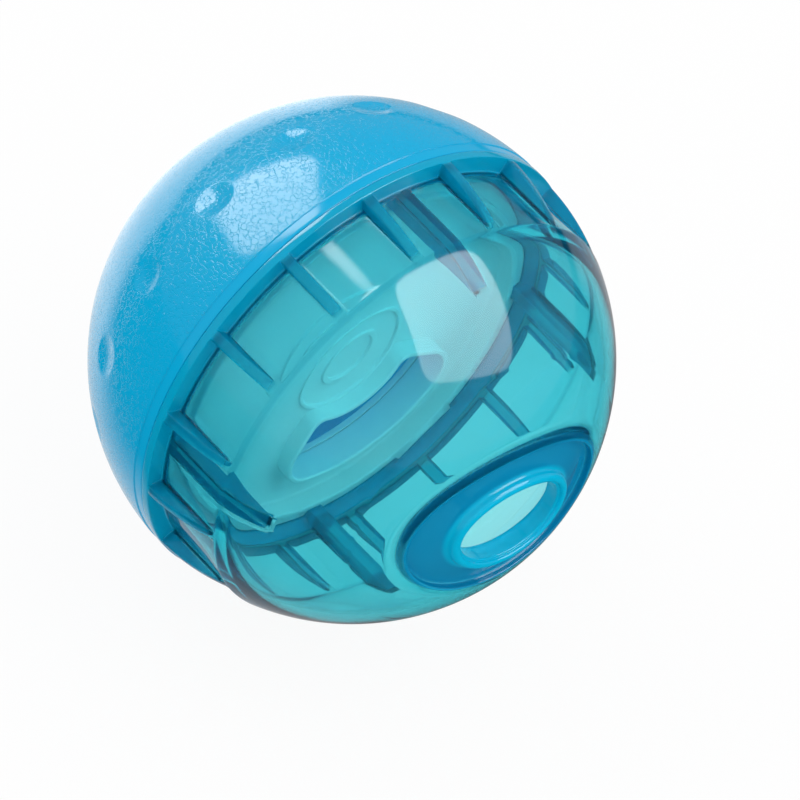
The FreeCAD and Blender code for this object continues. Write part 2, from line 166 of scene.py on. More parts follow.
def grown(outline, margin):  # a closed outline moved outwards by a margin
    count = len(outline)
    area = sum(outline[k - 1].cross(outline[k]) for k in range(count))
    turn = -1 if area < 0 else 1
    out = []
    for k in range(count):
        ahead = (outline[(k + 1) % count] - outline[k]).normalized()
        along = ahead + (outline[k] - outline[k - 1]).normalized()
        out.append(outline[k] + Vector((along.y, -along.x)).normalized() * margin * turn)
    return out


def stackPiece(name, outline, levels, place):  # an outline at each (height, margin), closed at both ends
    points = []
    for height, margin in levels:
        points += [place(height, spot) for spot in grown(outline, margin)]
    count = len(outline)
    last = (len(levels) - 1) * count
    faces = [tuple(range(count)), tuple(last + k for k in range(count))]
    for level in range(len(levels) - 1):
        for k in range(count):
            side = (k + 1) % count
            low, high = level * count, (level + 1) * count
            faces.append((low + k, low + side, high + side, high + k))
    return makePiece(name, points, faces)


def roundedLevels(start, end, rounding, sign=1):  # levels of a bar whose two end edges are rounded
    turns = [math.pi / 2 * k / meshing["barSteps"] for k in range(meshing["barSteps"] + 1)]
    bend = [(rounding * (1 - math.sin(t)), sign * rounding * (1 - math.cos(t))) for t in turns]
    first = [(start + height, margin) for height, margin in reversed(bend)]
    return first + [(end - height, margin) for height, margin in bend]


def combine(piece, tool, operation):
    step = piece.modifiers.new("combine", "BOOLEAN")
    step.operation = operation
    step.object = tool
    step.solver = "MANIFOLD"
    result = piece.evaluated_get(bpy.context.evaluated_depsgraph_get())
    piece.data, old = bpy.data.meshes.new_from_object(result), piece.data
    piece.modifiers.clear()
    bpy.data.objects.remove(tool)
    bpy.data.meshes.remove(old)
    piece.data.name = piece.name
    smoothen(piece)


def evenShading(piece):
    step = piece.modifiers.new("even shading", "WEIGHTED_NORMAL")
    step.keep_sharp = True


# Node trees. A wire is one output of a node, and Python's own operators add Math nodes to it.

class Wire:
    def __init__(self, tree, socket):
        self.tree = tree
        self.socket = socket

    def maths(self, operation, *values):
        node = self.tree.nodes.new("ShaderNodeMath")
        node.operation = operation
        for target, value in zip(node.inputs, values):
            plugIn(self.tree, target, value)
        return Wire(self.tree, node.outputs[0])

    def __add__(self, other):
        return self.maths("ADD", self, other)

    def __sub__(self, other):
        return self.maths("SUBTRACT", self, other)

    def __rsub__(self, other):
        return self.maths("SUBTRACT", other, self)

    def __mul__(self, other):
        return self.maths("MULTIPLY", self, other)

    def __truediv__(self, other):
        return self.maths("DIVIDE", self, other)

    def __rtruediv__(self, other):
        return self.maths("DIVIDE", other, self)

    def __pow__(self, other):
        return self.maths("POWER", self, other)

    __radd__ = __add__
    __rmul__ = __mul__


def plugIn(tree, target, value):
    if isinstance(value, Wire):
        tree.links.new(value.socket, target)
    else:
        target.default_value = value


class Recipe:  # the node tree of one material, or of the world
    def __init__(self, owner):
        owner.use_nodes = True
        self.tree = owner.node_tree
        self.tree.nodes.clear()

    def node(self, kind, settings=None, inputs=None, output=0):
        made = self.tree.nodes.new("ShaderNode" + kind)
        for name, value in (settings or {}).items():
            setattr(made, name, value)
        for name, value in (inputs or {}).items():
            plugIn(self.tree, made.inputs[name], value)
        return Wire(self.tree, made.outputs[output]) if made.outputs else None

    def above(self, value, limit, soft):  # 0 below a limit and 1 above it
        ends = {"Value": value, "From Min": limit - soft, "From Max": limit + soft}
        return self.node("MapRange", {"interpolation_type": "SMOOTHSTEP"}, ends)

    def band(self, value, low, high, soft):  # 1 between low and high, with soft ends
        return self.above(value, low, soft) * (1 - self.above(value, high, soft))

    def noise(self, spot, scale, detail, output="Fac"):  # the scale is per metre
        return self.node("TexNoise", {}, {"Vector": spot, "Scale": scale, "Detail": detail}, output)

    def bump(self, height, depth, strength):  # the depth is in millimetres
        return self.node("Bump", {}, {"Height": height, "Strength": strength, "Distance": depth * mm})

    def mix(self, factor, first, second):  # two shaders
        return self.node("MixShader", {}, {0: factor, 1: first, 2: second})

    def blend(self, factor, first, second):  # two colours
        settings = {"data_type": "RGBA"}
        return self.node("Mix", settings, {0: factor, 6: first, 7: second}, 2)

    def place(self):  # x, y, z and r on the object, in millimetres
        spot = self.node("TexCoord", output="Object")
        split = self.node("SeparateXYZ", inputs={0: spot})
        x, y, z = [Wire(self.tree, split.socket.node.outputs[k]) * (1 / mm) for k in range(3)]
        return spot, x, y, z, (y * y + z * z) ** 0.5


def newFinish(name):
    material = bpy.data.materials.new(name)
    return material, Recipe(material)


def dress(piece, material):
    piece.data.materials.clear()
    piece.data.materials.append(material)


# Finish of the dome: azure plastic with a leather grain that stops at the smooth band

azure = {
    "colour": (0.0, 0.385, 0.665, 1),
    "deep": (0.0, 0.345, 0.625, 1),  # slow drift of the colour
    "drift": 0.5,            # how far it drifts
    "driftScale": 28,
    "roughness": 0.11,
    "roughSpread": 0.06,
    "ior": 1.49,
    "grainSize": 1.3,        # mm across one pebble of the grain
    "bend": 0.9,             # mm by which a pebble's outline wanders
    "bendScale": 1500,
    "creaseWidth": 0.10,     # share of a pebble
    "creaseDepth": 0.030,
    "creaseShows": (0.42, 0.06),  # limit in a noise, and its softness
    "creaseScale": 620,      # of that noise
    "swell": 0.15,           # height of the pebbles' waves, as a share of a crease
    "swellScale": 420,
    "fine": 0.04,
    "fineScale": 2600,
    "bandEnd": (-2.95, 0.12),  # x where the grain stops, and its softness
    "shine": (1.0, 0.84, 0.70, 1),  # tint of its reflections
    "letIn": 0.3,            # light that comes through the wall to the inside
    "wallTint": (0.15, 0.6, 0.85, 1),
    "wallSoft": 20,          # square mm, how softly the inside begins within the wall
}


def azurePlastic():
    material, recipe = newFinish("azurePlastic")
    spot, x, y, z, r = recipe.place()
    wobble = recipe.noise(spot, azure["bendScale"], 1, "Color")
    reach = (azure["bend"] * mm,) * 3
    bent = recipe.node("VectorMath", {"operation": "MULTIPLY_ADD"}, {0: wobble, 1: reach, 2: spot})
    pebbles = {"Vector": bent, "Scale": 1 / mm / azure["grainSize"]}
    cells = recipe.node("TexVoronoi", {"feature": "DISTANCE_TO_EDGE"}, pebbles, "Distance")
    pebble = recipe.above(cells, azure["creaseWidth"] / 2, azure["creaseWidth"] / 2)
    gaps = recipe.noise(spot, azure["creaseScale"], 1)
    crease = (1 - pebble) * recipe.above(gaps, *azure["creaseShows"])
    fine = recipe.noise(spot, azure["fineScale"], 2)
    swell = recipe.noise(spot, azure["swellScale"], 1)
    grain = 1 - recipe.above(x, *azure["bandEnd"])
    height = (1 - crease + swell * azure["swell"] + fine * azure["fine"]) * grain
    drift = recipe.noise(spot, azure["driftScale"], 2)
    shader = recipe.node("BsdfPrincipled", {}, {
        "Base Color": recipe.blend(drift * azure["drift"], azure["colour"], azure["deep"]),
        "Roughness": azure["roughness"] + (fine - 0.5) * azure["roughSpread"],
        "Normal": recipe.bump(height, azure["creaseDepth"], 1.0),
        "IOR": azure["ior"],
        "Specular Tint": azure["shine"],
    })
    middle = (ball["radius"] - dome["wall"] / 2) ** 2
    inside = 1 - recipe.above(r * r + x * x, middle, azure["wallSoft"])
    glow = recipe.node("BsdfTranslucent", {}, {"Color": azure["wallTint"]})
    shader = recipe.mix(inside * azure["letIn"], shader, glow)
    wallSide = recipe.node("NewGeometry", output="Backfacing")
    clearWall = recipe.node("BsdfTransparent", {}, {"Color": azure["wallTint"]})
    recipe.node("OutputMaterial", {}, {"Surface": recipe.mix(wallSide, shader, clearWall)})
    return material


# Finish of the bowl: clear azure plastic, whose colour comes from its own thickness, with painted shade in
# the sunk oval, painted light on the lip and a painted refraction band at the neck's inside corner

clear = {
    "absorb": (420.0, 64.0, 48.0),  # per metre, in red, green and blue
    "roughness": 0.0,
    "ior": 1.49,
    "flow": 0.25,            # mm, height of the slow waves in its surface
    "flowStrength": 0.3,
    "flowScale": 45,
    "body": (0.0, 0.44, 0.70, 1),  # the dye where the plastic is thick
    "ovalBodyPaintedShade": (0.0, 0.27, 0.52, 1),  # the body's colour in the sunk oval, made darker: painted shade
    "lipBodyPaintedLight": (0.0, 0.56, 0.86, 1),  # and on the lip, made lighter: painted light
    "bodyRoughness": 0.1,
    "glow": 0.5,             # share of the body that lets light through
    "share": 0.06,           # how much of it shows on the bowl
    "neckShare": 0.1,
    # painted refraction: solid body shown at the thick inside corner where neck meets ball, as a blue band
    "cornerShare": 0.25,
    "ribShare": 0.6,
    "lipShare": 0.75,
    "flangeShare": 0.7,
    # Where these shares hold: limits, and last how soft they are
    "dishFrom": (50, 1),     # along x
    "dishEdge": (1.04, 0.02),  # shares of the sunk oval
    "lipEdge": (1.06, 0.05),  # shares of the lip
    "flangeEnd": (0.6, 0.5),  # mm past the flange
    "neckEnds": (0.2, 23.5, 0.3),  # mm past the flange, and along x
    "gripFoot": (0.5, 0.4),  # mm outside the neck
    "guideEnds": (1.0, 36, 0.5),  # along x
    "guideFoot": (1.2, 0.4),  # mm inside the neck's bore
    "guideWall": (3650, 30),  # square mm, the ball's inside with a margin
    "cornerEnds": (22.2, 24.0, 0.6),  # along x
    "cornerIn": (58.2, 0.2),  # along r
}


def clearPlastic():
    material, recipe = newFinish("clearPlastic")
    spot, x, y, z, r = recipe.place()
    bump = recipe.bump(recipe.noise(spot, clear["flowScale"], 1), clear["flow"], clear["flowStrength"])
    glass = recipe.node("BsdfPrincipled", {}, {
        "Base Color": (1, 1, 1, 1),
        "Roughness": clear["roughness"],
        "Normal": bump,
        "IOR": clear["ior"],
        "Transmission Weight": 1.0,
    })
    lipLong, lipShort = exitHole["long"] + exitHole["lip"], exitHole["short"] + exitHole["lip"]
    oval = ((y / exitHole["dishLong"]) ** 2 + (z / exitHole["dishShort"]) ** 2) ** 0.5
    tube = ((y / lipLong) ** 2 + (z / lipShort) ** 2) ** 0.5
    dish = recipe.above(x, *clear["dishFrom"]) * (1 - recipe.above(oval, *clear["dishEdge"]))
    # painted shade in the sunk oval, and painted light on its lip
    colour = recipe.blend(recipe.above(tube, *clear["lipEdge"]), clear["lipBodyPaintedLight"], clear["ovalBodyPaintedShade"])
    colour = recipe.blend(dish, clear["body"], colour)
    solid = recipe.node("BsdfPrincipled", {}, {
        "Base Color": colour, "Roughness": clear["bodyRoughness"], "Normal": bump, "IOR": clear["ior"],
    })
    glow = recipe.node("BsdfTranslucent", {}, {"Color": colour, "Normal": bump})
    past, soft = clear["flangeEnd"]
    lets = recipe.band(x, bowl["flange"] + past, clear["dishFrom"][0], soft) * clear["glow"]
    body = recipe.mix(lets, solid, glow)
    flange = 1 - recipe.above(x, bowl["flange"] + past, soft)
    past, end, soft = clear["neckEnds"]
    neckX = recipe.band(x, bowl["flange"] + past, end, soft)
    foot, soft = clear["gripFoot"]
    ribs = neckX * recipe.above(r, bowl["neck"] + foot, soft)
    foot, soft = clear["guideFoot"]
    inner = recipe.band(x, *clear["guideEnds"]) * (1 - recipe.above(r, bowl["neckBore"] - foot, soft))
    inner = inner * (1 - recipe.above(r * r + x * x, *clear["guideWall"]))
    # painted refraction band: solid body at the thick inside corner between neck and ball
    corner = recipe.band(x, *clear["cornerEnds"]) * recipe.above(r, *clear["cornerIn"])
    share = neckX * (clear["neckShare"] - clear["share"]) + clear["share"]
    masks = {"lip": dish, "rib": ribs.maths("MAXIMUM", ribs, inner), "flange": flange, "corner": corner}
    for name, mask in masks.items():
        share = share.maths("MAXIMUM", share, mask * clear[name + "Share"])
    strongest = max(clear["absorb"])
    tint = tuple(1 - part / strongest for part in clear["absorb"]) + (1,)
    volume = recipe.node("VolumeAbsorption", {}, {"Color": tint, "Density": strongest})
    recipe.node("OutputMaterial", {}, {"Surface": recipe.mix(share, glass, body), "Volume": volume})
    return material


# Finish of the drum and shutter: milky white plastic, made darker within its middle radius as painted shade

milky = {
    "colour": (0.90, 0.92, 0.92, 1),
    "cloudAndPaintedShade": (0.77, 0.80, 0.81, 1),  # of its clouds, and of the painted shade in its middle
    "cloud": 0.5,
    "cloudScale": 60,
    # painted shade: how far the middle is darkened towards the shade colour
    "middle": 0.5,
    "paintedShadeEnd": (46, 4),    # radius where the painted shade of the middle ends, and its softness
    "roughness": 0.34,
    "roughSpread": 0.12,
    "ior": 1.5,
    "grain": 0.02,
    "grainStrength": 0.6,
    "grainScale": 2400,
    "turning": 0.12,         # height of the turning marks, as a share of the grain
    "turningPace": 7.0,      # radians of their wave in each mm
}


def milkyPlastic():
    material, recipe = newFinish("milkyPlastic")
    spot, x, y, z, r = recipe.place()
    cloud = recipe.noise(spot, milky["cloudScale"], 3)
    fine = recipe.noise(spot, milky["grainScale"], 2)
    turned = recipe.node("Math", {"operation": "SINE"}, {0: r * milky["turningPace"]})
    # painted shade: within a radius the surface is darker
    middle = 1 - recipe.above(r, *milky["paintedShadeEnd"])
    cloudAndPaintedShade = milky["cloud"] * cloud + middle * milky["middle"]
    shader = recipe.node("BsdfPrincipled", {}, {
        "Base Color": recipe.blend(cloudAndPaintedShade, milky["colour"], milky["cloudAndPaintedShade"]),
        "Roughness": milky["roughness"] + (cloud - 0.5) * milky["roughSpread"],
        "Normal": recipe.bump(fine + turned * milky["turning"], milky["grain"], milky["grainStrength"]),
        "IOR": milky["ior"],
    })
    recipe.node("OutputMaterial", {}, {"Surface": shader})
    return material


# Screw ridges: how far they stand out of the wall at one place

screw = {
    "lead": 8.0,             # travel in one turn
    "starts": 2,
    "height": 1.0,
    "crest": 0.5,            # width of the flat top
    "foot": 1.6,             # width at the wall
    "rowStep": 0.3,          # mm between the mesh's rows over the ridges
}


def ridge(x, angle, phase):
    pitch = screw["lead"] / screw["starts"]
    along = (x - screw["lead"] * angle / 360) / pitch + phase
    away = abs(along - round(along)) * pitch
    return screw["height"] * smoothStep(screw["foot"] / 2, screw["crest"] / 2, away)


# Opaque dome

dome = {
    "wall": 2.8,
    "bandWidth": 2.9,        # smooth band beside the seam
    "bandStep": 0.25,
    "bandFoot": 0.99895,     # radius at its end, as a share of its largest
    "bandRound": 0.4,
    "bandRows": (1.0, 0.2, 0.02, 0.3),  # mm: first row from the seam, and rows about its end
    "socket": 58.1,          # radius of the screwed socket
    "socketRows": (1.0, 0.3),  # mm: first row outside its mouth, and its chamfer
    "seat": 9.9,             # seam to the socket's end
    "ringBore": 54.0,
    "ringStop": 13.9,
    "ringLip": 51.6,
    "ringWall": 1.6,
    "rounds": (0.5, 0.5, 0.4, 0.4, 0.3, 0.2, 0.3, 0),  # corners of the inside, from the wall to the seat
    "ridgeFrom": (-9.4, -8.5),  # the socket's ridges rise here
    "ridgeTo": (-1.9, -0.9),  # and end here
    "dimples": 15,
    "dimpleTurn": 5.4,
    "dimpleRing": 25.0,      # seam to the ring of dimples
    "dimpleRadius": 5.0,
    "dimpleDepth": 0.85,
    "dimpleSoft": 0.10,      # rounding of the dimple's edge
    "dimpleReach": 1.3,      # its radii from the middle, where it has ended
    "dimpleRows": (8.0, 7.6, 8.2),  # mm from the ring: last row before, rows over, first after
    "rows": (4, 24, 48, 46, 60),  # on the band, before, over and after the dimples, and inside
}


def dimpleAt(point):  # depth of the dimples at a point of the ball's surface
    spacing = 360 / dome["dimples"]
    lean = math.asin(dome["dimpleRing"] / ball["radius"])
    angle = math.degrees(math.atan2(point[2], point[1])) - dome["dimpleTurn"]
    nearest = round(angle / spacing) * spacing + dome["dimpleTurn"]
    centre = Vector(polar(-math.sin(lean), math.cos(lean), nearest)) * ball["radius"]
    away = (Vector(point) - centre).length / dome["dimpleRadius"]
    if away > dome["dimpleReach"]:
        return 0.0
    cap = dome["dimpleDepth"] * (1 - away * away)
    return (cap + math.hypot(cap, dome["dimpleSoft"])) / 2


def buildDome():
    angles = evenAngles(ball["columns"])
    radius, gap, band = ball["radius"], ball["seamGap"], dome["bandWidth"]
    inner, low = radius - dome["wall"], radius - dome["bandStep"]
    seat, stop, wall = dome["seat"], dome["ringStop"], dome["ringWall"]
    socket, bore, lip = dome["socket"], dome["ringBore"], dome["ringLip"]
    ringX = -dome["dimpleRing"]
    onBand, toDimples, overDimples, toPole, within = dome["rows"]
    first, last, foot, past = dome["bandRows"]
    before, over, after = dome["dimpleRows"]
    mouth, chamfer = dome["socketRows"]
    outside = [(-gap, socket + mouth, 0), (-gap, low, dome["bandRound"])]
    outside += onBall(low, -first, -band + last, onBand)
    outside += [(-band - foot, low * dome["bandFoot"], 0)]
    outside += onBall(radius, -band - past, ringX + before, toDimples)
    outside += onBall(radius, ringX + over, ringX - over, overDimples)
    outside += onBall(radius, ringX - after, -radius, toPole)
    rings = []
    for x, r in bendCorners(outside):
        ring = []
        for angle in angles:
            point = Vector(polar(x, r, angle))
            if abs(x - ringX) < dome["dimpleRadius"] * dome["dimpleReach"]:
                point *= 1 - dimpleAt(point) / radius
            ring.append(tuple(point))
        rings.append(ring)
    web, ringOut = -(seat + wall), bore + wall
    inside = onBall(inner, -inner, web, within)
    corners = [inside.pop()[:2], (web, ringOut), (-(stop + wall), ringOut), (-(stop + wall), lip)]
    corners += [(-stop, lip), (-stop, bore), (-seat, bore), (-seat, socket)]
    inside += [(x, r, rounding) for (x, r), rounding in zip(corners, dome["rounds"])]
    rings += spin(bendCorners(inside), angles)
    x = -seat + screw["rowStep"]
    while x < dome["ridgeTo"][1]:
        ends = smoothStep(*dome["ridgeFrom"], x) * (1 - smoothStep(*dome["ridgeTo"], x))
        rings.append([polar(x, socket - ridge(x, angle, 0.5) * ends, angle) for angle in angles])
        x += screw["rowStep"]
    rings += spin([(-gap - chamfer, socket), (-gap, socket + chamfer)], angles)
    return ringPiece("dome", rings)


# Clear bowl. Its columns follow the ribs, so that a rib is a step between two columns.

bowl = {
    "wall": 2.2,
    "flange": 2.3,
    "flangeRounds": (0.2, 0.35, 0.3),
    "flangeCrown": (1.1, 0.01),  # x and mm of its slight crown
    "flangeLead": 0.4,       # mm of the spigot that its corner may use
    "flangeGap": 0.2,        # mm from its plane to the inside's rows on either side
    "ribLead": 0.03,         # mm before its far side, where the grip ribs start
    "shelfRound": 0.5,
    "shelfEnd": 1.5,         # mm of the neck that its corner may use
    "neck": 59.2,
    "neckBore": 56.2,
    "neckRows": (1.2, 0.8, 0.45),  # mm: past the flange, before the ball, and on the ball
    "taperRows": (0.7, 0.2),  # x, inside the flange
    "boreRows": (-0.05, -0.9, -2, -5, -7),
    "cornerSoft": 1.6,       # softness of the inside corner between neck and ball
    "shoulderRows": ((-0.35, 0.02), (0, -0.05)),  # mm along and out, where the neck meets the ball
    "spigot": 56.6,
    "spigotBore": 54.0,
    "spigotLength": 9.5,
    "spigotRounds": (0.4, 0.5),
    "ridgeRow": 0.8,         # mm from its end to the first row
    "ridgeFrom": (0.4, 1.4),  # mm from its end, where the ridges rise
    "ridgeTo": (-1.7, -0.8),  # x where they end
    "gripCount": 16,
    "gripTurn": 11.25,
    "gripWidth": 2.9,
    "gripInset": 0.15,
    "guideCount": 4,
    "guideTurn": 0.0,
    "guideWidth": 4.0,
    "guideBore": 51.2,
    "guideTop": 53.0,        # above the ledge that carries the drum
    "ledge": -0.15,
    "keyEnd": -3.2,
    "stepRow": 0.01,         # mm from a step to the rows of the mesh on either side of it
    "ribEdge": 0.32,         # rounding along a rib
    "ribBend": (0.35, 0.3),  # its middle point, as shares of it across and down
    "ribClear": 0.6,         # degrees beside a rib that have no other columns
    "columns": 288,          # besides those of the ribs
    "rows": (28, 25, 34, 64),  # on the spigot, neck, ball and inside
}

exitHole = {
    "long": 14.9,            # half the hole's length
    "short": 10.8,
    "innerEnd": 56.2,
    "lip": 2.9,
    "dishLong": 28.3,
    "dishShort": 20.6,
    "dishDepth": 2.0,
    "slope": 4.4,            # of the inside, on either side of the dish's edge
    "circle": 38.0,          # radius where the ovals have become circles
    "rows": (12, 8, 10),     # outside up to the dish, half over the slope, and inside from it
    # Sections: mm outside their oval, and mm under the ball's surface
    "dishNear": 0.9,
    "dishEdge": (
        (0.55, 0.01), (0.3, 0.06), (0.12, 0.18), (0.02, 0.4), (-0.05, 0.8),
        (-0.15, 1.2), (-0.35, 1.6), (-0.7, 1.88), (-1.2, 1.98),
    ),
    "dishFloor": (-1.4, 1.0, (0.2, 0.4, 0.6, 0.8)),  # its ends, and the rows' shares of the way
    "lipEdge": (
        (0.9, 1.98), (0.45, 1.9), (0.15, 1.7), (0.02, 1.35), (0.0, 0.95),
        (-0.08, 0.6), (-0.3, 0.3), (-0.65, 0.1), (-1.05, 0.0), (-1.4, 0.02),
        (-1.75, 0.12), (-2.05, 0.32), (-2.2, 0.6), (-2.2, 0.95), (-2.3, 1.15),
    ),
    "holeEdge": ((0.35, 1.17), (0.12, 1.25), (0.02, 1.45), (0.0, 1.8), (0.0, 2.6)),
    "tubeRows": (59.0, 58.2, 57.4, 56.7),  # x
    # The tube's end has mm past innerEnd in place of the depth
    "tubeEnd": ((0.1, 0.15), (0.4, 0), (1.45, 0), (2.5, 0), (2.8, 0.15), (2.9, 0.5), (2.9, 1.1)),
    "tubeFoot": (3.0, 3.4),
    "backRows": (0.3, 0.6, 0.9),  # shares of the way from the tube to the slope
}


def bowlColumns():  # (kind, part, centre angle, offset across the rib, rounding)
    columns = []
    taken = []
    edge = bowl["ribEdge"]
    bend, sunk = [edge * share for share in bowl["ribBend"]]
    for kind in ("grip", "guide"):
        half = bowl[kind + "Width"] / 2
        across = [(-half - edge, "foot", 0.0), (-half - bend, "foot", sunk), (-half, "foot", edge)]
        across += [(-half, "top", edge), (-half + bend, "top", sunk), (-half + edge, "top", 0.0)]
        across += [(0.0, "top", 0.0)] + [(-w, part, rounding) for w, part, rounding in reversed(across)]
        for turn in evenAngles(bowl[kind + "Count"]):
            centre = bowl[kind + "Turn"] + turn
            for order, (w, part, rounding) in enumerate(across):
                columns.append(((centre + w, order), (kind, part, centre, w, rounding)))
            taken.append((centre, half + edge + bowl["ribClear"]))  # a mm is about a degree here
    for angle in evenAngles(bowl["columns"]):
        if all(abs((angle - centre + 180) % 360 - 180) > reach for centre, reach in taken):
            columns.append(((angle, 0), ("plain", "", angle, 0.0, 0.0)))
    return [column for order, column in sorted(columns)]


def columnAngle(column, r):
    kind, part, centre, w, rounding = column
    return centre + math.degrees(math.asin(w / max(r, bowl["guideBore"])))


def gripRadius(column, x, r):  # outside of the neck at a column
    kind, part, centre, w, rounding = column
    top = math.sqrt(max(0, (ball["radius"] - bowl["gripInset"]) ** 2 - x * x))
    if kind != "grip":
        return r
    return max(r, top - rounding) if part == "top" else min(max(r, top), r + rounding)


def guideRadius(column, x, r):  # inside of the bowl at a column
    kind, part, centre, w, rounding = column
    if kind != "guide" or x < bowl["keyEnd"]:
        return r
    edge = bowl["guideBore"] if x > bowl["ledge"] else bowl["guideTop"]
    return min(r, edge + rounding) if part == "top" else max(min(r, edge), r - rounding)


def ovalRing(columns, a, b, x=None, under=0.0):  # an ellipse at x, or at a depth under the ball's surface
    ring = []
    for column in columns:
        place, y, z = polar(x, 1, columnAngle(column, 0))
        y, z = a * y, b * z
        ring.append((math.sqrt((ball["radius"] - under) ** 2 - y * y - z * z) if x is None else x, y, z))
    return ring


def exitRings(columns):  # over the dish and lip, through the hole, and back inside
    e = exitHole
    deep, slope, back = e["dishDepth"], e["slope"], e["dishDepth"] + bowl["wall"]
    dish, hole, circle = (e["dishLong"], e["dishShort"]), (e["long"], e["short"]), (e["circle"], e["circle"])
    lip = [half + e["lip"] for half in hole]
    toDish, overSlope, fromSlope = e["rows"]
    rings = []

    def around(oval, section, way="under"):
        for off, place in section:
            rings.append(ovalRing(columns, oval[0] + off, oval[1] + off, **{way: place}))

    def between(oval, off, other, otherOff, shares, under):
        for share in shares:
            ends = [(half + off, otherHalf + otherOff) for half, otherHalf in zip(oval, other)]
            a, b = [start + (end - start) * share for start, end in ends]
            rings.append(ovalRing(columns, a, b, under=under))

    between(circle, 0, dish, e["dishNear"], [k / toDish for k in range(1, toDish + 1)], 0)
    around(dish, e["dishEdge"])
    fromEdge, fromLip, shares = e["dishFloor"]
    between(dish, fromEdge, lip, fromLip, shares, deep)
    around(lip, e["lipEdge"])
    around(hole, e["holeEdge"])
    around(hole, [(0, x) for x in e["tubeRows"]], "x")
    around(hole, [(off, e["innerEnd"] + past) for off, past in e["tubeEnd"]], "x")
    around(hole, [(off, back) for off in e["tubeFoot"]])
    between(hole, e["tubeFoot"][-1], dish, -slope, e["backRows"], back)
    offsets = [slope * (k / overSlope - 1) for k in range(2 * overSlope + 1)]
    around(dish, [(off, back - deep * smoothStep(-slope, slope, off)) for off in offsets])
    between(dish, slope, circle, 0, [k / fromSlope for k in range(1, fromSlope + 1)], bowl["wall"])
    return rings


def buildBowl():
    columns = bowlColumns()
    radius, neck, flange = ball["radius"], bowl["neck"], bowl["flange"]
    bore, spigot, spigotBore = bowl["neckBore"], bowl["spigot"], bowl["spigotBore"]
    end, innerBall = -bowl["spigotLength"], radius - bowl["wall"]
    shoulder = math.sqrt(radius ** 2 - neck ** 2)
    onSpigot, onNeck, onOutside, onInside = bowl["rows"]
    rings = []

    def addRings(profile, reach=lambda column, x, r: r):
        for x, r in profile:
            radii = [reach(column, x, r) for column in columns]
            places = zip(columns, radii)
            rings.append([polar(x, there, columnAngle(column, there)) for column, there in places])

    def ridged(column, x, r):
        start, full = bowl["ridgeFrom"]
        rise = smoothStep(end + start, end + full, x) * (1 - smoothStep(*bowl["ridgeTo"], x))
        return r + ridge(x, columnAngle(column, r), 0.0) * rise

    # Spigot and its screw ridges
    inRound, outRound = bowl["spigotRounds"]
    lip = [(0, spigotBore, 0), (end, spigotBore, inRound), (end, spigot, outRound), (0, spigot, 0)]
    addRings(bendCorners(lip)[1:-1])
    start = end + bowl["ridgeRow"]
    addRings([(start + screw["rowStep"] * k, spigot) for k in range(onSpigot)], ridged)

    # Flange, shelf, ribbed neck and the ball's surface up to the ovals
    top = math.sqrt(radius ** 2 - flange ** 2)
    lowRound, sideRound, topRound = bowl["flangeRounds"]
    crown, drop = bowl["flangeCrown"]
    band = [(-bowl["flangeLead"], spigot, 0), (0.0, spigot, lowRound), (0.0, radius, sideRound)]
    band += [(crown, radius - drop, 0), (flange, top, topRound), (flange, neck, 0)]
    ribStart = flange - bowl["ribLead"]
    addRings(bendCorners(band)[1:-1], lambda column, x, r: gripRadius(column, x, r) if x > ribStart else r)
    shelf = [(flange, top, 0), (flange, neck, bowl["shelfRound"]), (flange + bowl["shelfEnd"], neck, 0)]
    addRings(bendCorners(shelf)[1:-1], gripRadius)
    past, before, after = bowl["neckRows"]
    first, last = flange + past, shoulder - before
    addRings([(first + (last - first) * k / onNeck, neck) for k in range(onNeck + 1)], gripRadius)
    addRings([(shoulder + along, neck + out) for along, out in bowl["shoulderRows"]], gripRadius)
    toOvals = math.sqrt(radius ** 2 - exitHole["circle"] ** 2)
    addRings([(x, r) for x, r, _ in onBall(radius, shoulder + after, toOvals, onOutside)])

    # The exit, then back along the inside over the guide ribs
    rings += exitRings(columns)
    deepest = math.sqrt(innerBall ** 2 - exitHole["circle"] ** 2)
    soft, gap = bowl["cornerSoft"], bowl["flangeGap"]
    inside = onBall(innerBall, deepest, flange + gap, onInside)[1:]
    addRings([(x, (bore + r - math.hypot(bore - r, soft)) / 2) for x, r, _ in inside], guideRadius)
    taper = (bore - spigotBore) / flange
    addRings([(x, spigotBore + taper * x) for x in (flange - gap, *bowl["taperRows"])], guideRadius)
    steps = [step + side * bowl["stepRow"] for step in (bowl["ledge"], bowl["keyEnd"]) for side in (1, -1)]
    addRings([(x, spigotBore) for x in sorted(steps + [*bowl["boreRows"]], reverse=True)], guideRadius)
    piece = ringPiece("bowl", rings)
    roundNormals(piece, (radius, innerBall))
    return piece


# White drum and shutter, with the same half-moon opening

halfMoon = {
    "inner": 18.0,
    "outer": 37.0,
    "angle": 95.0,
    "middle": -67.5,
    "innerRound": 3.0,
    "outerRound": 7.0,
    "steps": (12, 10, 24, 14),  # round a corner, along a side, and half along the two arcs
}

